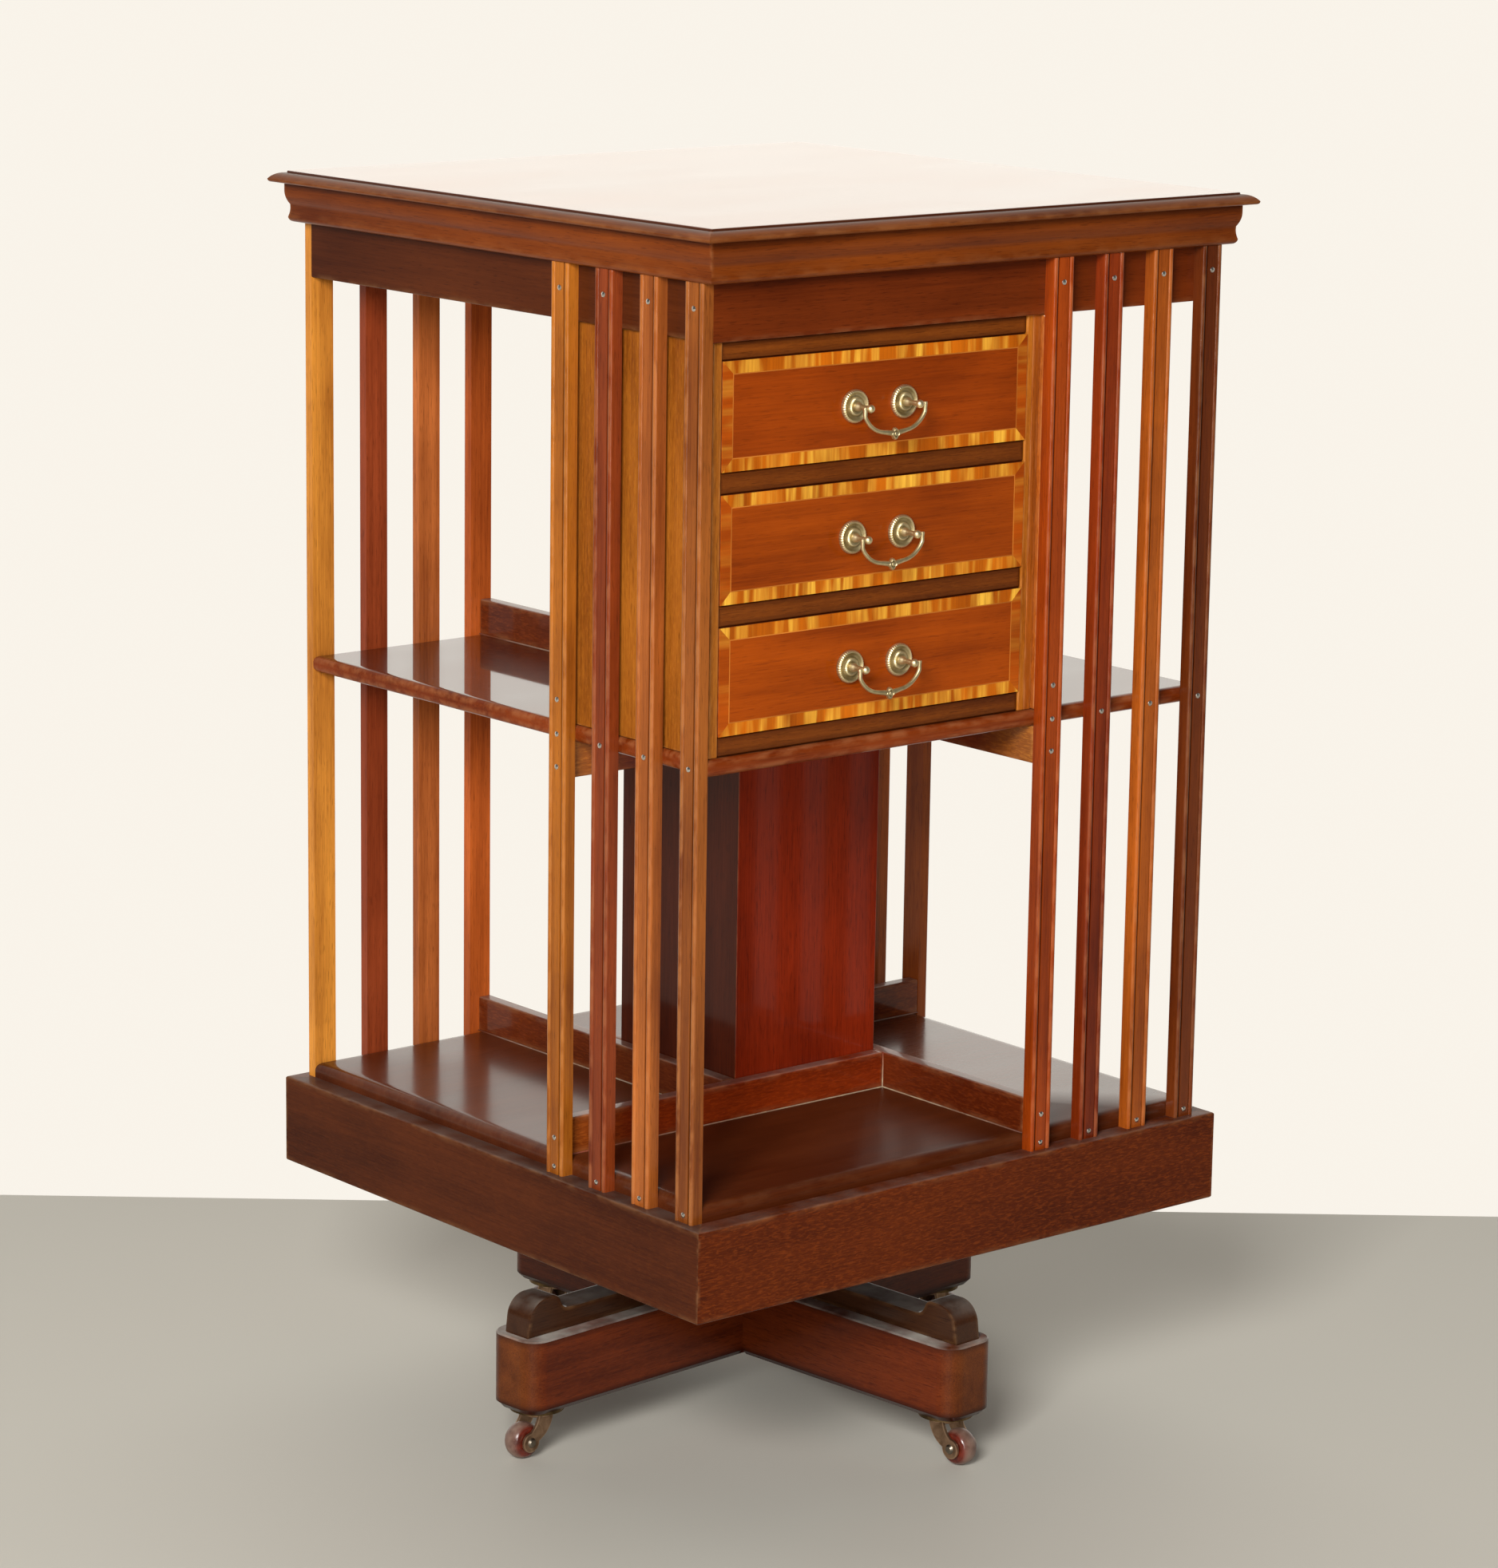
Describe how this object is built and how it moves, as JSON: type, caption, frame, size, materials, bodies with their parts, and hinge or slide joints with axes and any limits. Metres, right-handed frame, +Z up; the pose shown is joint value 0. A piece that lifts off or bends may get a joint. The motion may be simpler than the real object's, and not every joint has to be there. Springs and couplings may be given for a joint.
{
  "type": "revolving bookcase",
  "caption": "Square revolving bookcase with slatted open bays and a stack of drawers, turning on a central post over a cross base with castors.",
  "frame": {"origin": "on the floor under the middle of the post, where the case turns", "axes": "+Z up along the post; the drawers face -Y and pull out that way; +X to the right of the drawers"},
  "size_m": [0.48, 0.48, 0.8635],
  "materials": {
    "case_mahogany": "gloss polish",
    "slat_mahogany": "gloss polish",
    "drawer_case_mahogany": "gloss polish",
    "drawer_front_veneer": "gloss polish",
    "drawer_lining": "bare",
    "base_mahogany": "gloss polish",
    "handle_brass": "aged",
    "castor_brass": "dull",
    "wheel_ceramic": "gloss",
    "steel": "worn",
    "bearing_iron": "oiled"
  },
  "bodies": {
    "base": {"base_beam_left_right": "base_mahogany", "base_beam_front_back": "base_mahogany", "chock_left": "base_mahogany", "chock_front": "base_mahogany", "chock_right": "base_mahogany", "chock_back": "base_mahogany", "spindle_post": "base_mahogany", "pivot_pin": "steel", "castor_plates": "castor_brass"},
    "case": {"top_board": "case_mahogany", "cornice": "case_mahogany", "frieze": "case_mahogany", "middle_shelf": "case_mahogany", "bottom_board": "case_mahogany", "apron_front": "case_mahogany", "apron_left": "case_mahogany", "apron_back": "case_mahogany", "apron_right": "case_mahogany", "column": "case_mahogany", "lower_stops": "case_mahogany", "hanging_stops": "case_mahogany", "upper_stops": "case_mahogany", "slats_front": "slat_mahogany", "slats_left": "slat_mahogany", "slats_back": "slat_mahogany", "slats_right": "slat_mahogany", "drawer_case_left_side": "drawer_case_mahogany", "drawer_case_right_side": "drawer_case_mahogany", "drawer_case_back": "drawer_case_mahogany", "drawer_rails": "drawer_case_mahogany", "drawer_runners": "drawer_case_mahogany", "bearing_collar": "bearing_iron", "pivot_cup": "bearing_iron"},
    "drawer_1": {"drawer_1_front": "drawer_front_veneer", "drawer_1_box": "drawer_lining", "drawer_1_bottom": "drawer_lining", "handle_1_posts": "handle_brass"},
    "handle_1": {"handle_1_bail": "handle_brass"},
    "drawer_2": {"drawer_2_front": "drawer_front_veneer", "drawer_2_box": "drawer_lining", "drawer_2_bottom": "drawer_lining", "handle_2_posts": "handle_brass"},
    "handle_2": {"handle_2_bail": "handle_brass"},
    "drawer_3": {"drawer_3_front": "drawer_front_veneer", "drawer_3_box": "drawer_lining", "drawer_3_bottom": "drawer_lining", "handle_3_posts": "handle_brass"},
    "handle_3": {"handle_3_bail": "handle_brass"},
    "castor_left": {"castor_fork_left": "castor_brass", "castor_axle_left": "steel"},
    "wheel_left": {"castor_wheel_left": "wheel_ceramic"},
    "castor_front": {"castor_fork_front": "castor_brass", "castor_axle_front": "steel"},
    "wheel_front": {"castor_wheel_front": "wheel_ceramic"},
    "castor_right": {"castor_fork_right": "castor_brass", "castor_axle_right": "steel"},
    "wheel_right": {"castor_wheel_right": "wheel_ceramic"},
    "castor_back": {"castor_fork_back": "castor_brass", "castor_axle_back": "steel"},
    "wheel_back": {"castor_wheel_back": "wheel_ceramic"}
  },
  "joints": [
    {"name": "case_turn", "type": "hinge", "parent": "base", "child": "case", "pos_m": [0, 0, 0], "axis": [0, 0, 1], "continuous": true},
    {"name": "drawer_1_slide", "type": "slide", "parent": "case", "child": "drawer_1", "axis": [0, -1, 0], "range_m": [0, 0.105]},
    {"name": "handle_1_swing", "type": "hinge", "parent": "drawer_1", "child": "handle_1", "pos_m": [-0.078, -0.2321, 0.742], "axis": [-1, 0, 0], "range_deg": [0, 90]},
    {"name": "drawer_2_slide", "type": "slide", "parent": "case", "child": "drawer_2", "axis": [0, -1, 0], "range_m": [0, 0.105]},
    {"name": "handle_2_swing", "type": "hinge", "parent": "drawer_2", "child": "handle_2", "pos_m": [-0.078, -0.2321, 0.6572], "axis": [-1, 0, 0], "range_deg": [0, 90]},
    {"name": "drawer_3_slide", "type": "slide", "parent": "case", "child": "drawer_3", "axis": [0, -1, 0], "range_m": [0, 0.105]},
    {"name": "handle_3_swing", "type": "hinge", "parent": "drawer_3", "child": "handle_3", "pos_m": [-0.078, -0.2321, 0.5724], "axis": [-1, 0, 0], "range_deg": [0, 90]},
    {"name": "castor_left_swivel", "type": "hinge", "parent": "base", "child": "castor_left", "pos_m": [-0.19824, -0.01734, 0.0355], "axis": [0, 0, 1], "continuous": true},
    {"name": "wheel_left_spin", "type": "hinge", "parent": "castor_left", "child": "wheel_left", "pos_m": [-0.21169, -0.01852, 0.01275], "axis": [0.0872, -0.9962, 0], "continuous": true},
    {"name": "castor_front_swivel", "type": "hinge", "parent": "base", "child": "castor_front", "pos_m": [0.01734, -0.19824, 0.0355], "axis": [0, 0, 1], "continuous": true},
    {"name": "wheel_front_spin", "type": "hinge", "parent": "castor_front", "child": "wheel_front", "pos_m": [0.01852, -0.21169, 0.01275], "axis": [0.9962, 0.0872, 0], "continuous": true},
    {"name": "castor_right_swivel", "type": "hinge", "parent": "base", "child": "castor_right", "pos_m": [0.19824, 0.01734, 0.0355], "axis": [0, 0, 1], "continuous": true},
    {"name": "wheel_right_spin", "type": "hinge", "parent": "castor_right", "child": "wheel_right", "pos_m": [0.21169, 0.01852, 0.01275], "axis": [-0.0872, 0.9962, 0], "continuous": true},
    {"name": "castor_back_swivel", "type": "hinge", "parent": "base", "child": "castor_back", "pos_m": [-0.01734, 0.19824, 0.0355], "axis": [0, 0, 1], "continuous": true},
    {"name": "wheel_back_spin", "type": "hinge", "parent": "castor_back", "child": "wheel_back", "pos_m": [-0.01852, 0.21169, 0.01275], "axis": [-0.9962, -0.0872, 0], "continuous": true}
  ]
}
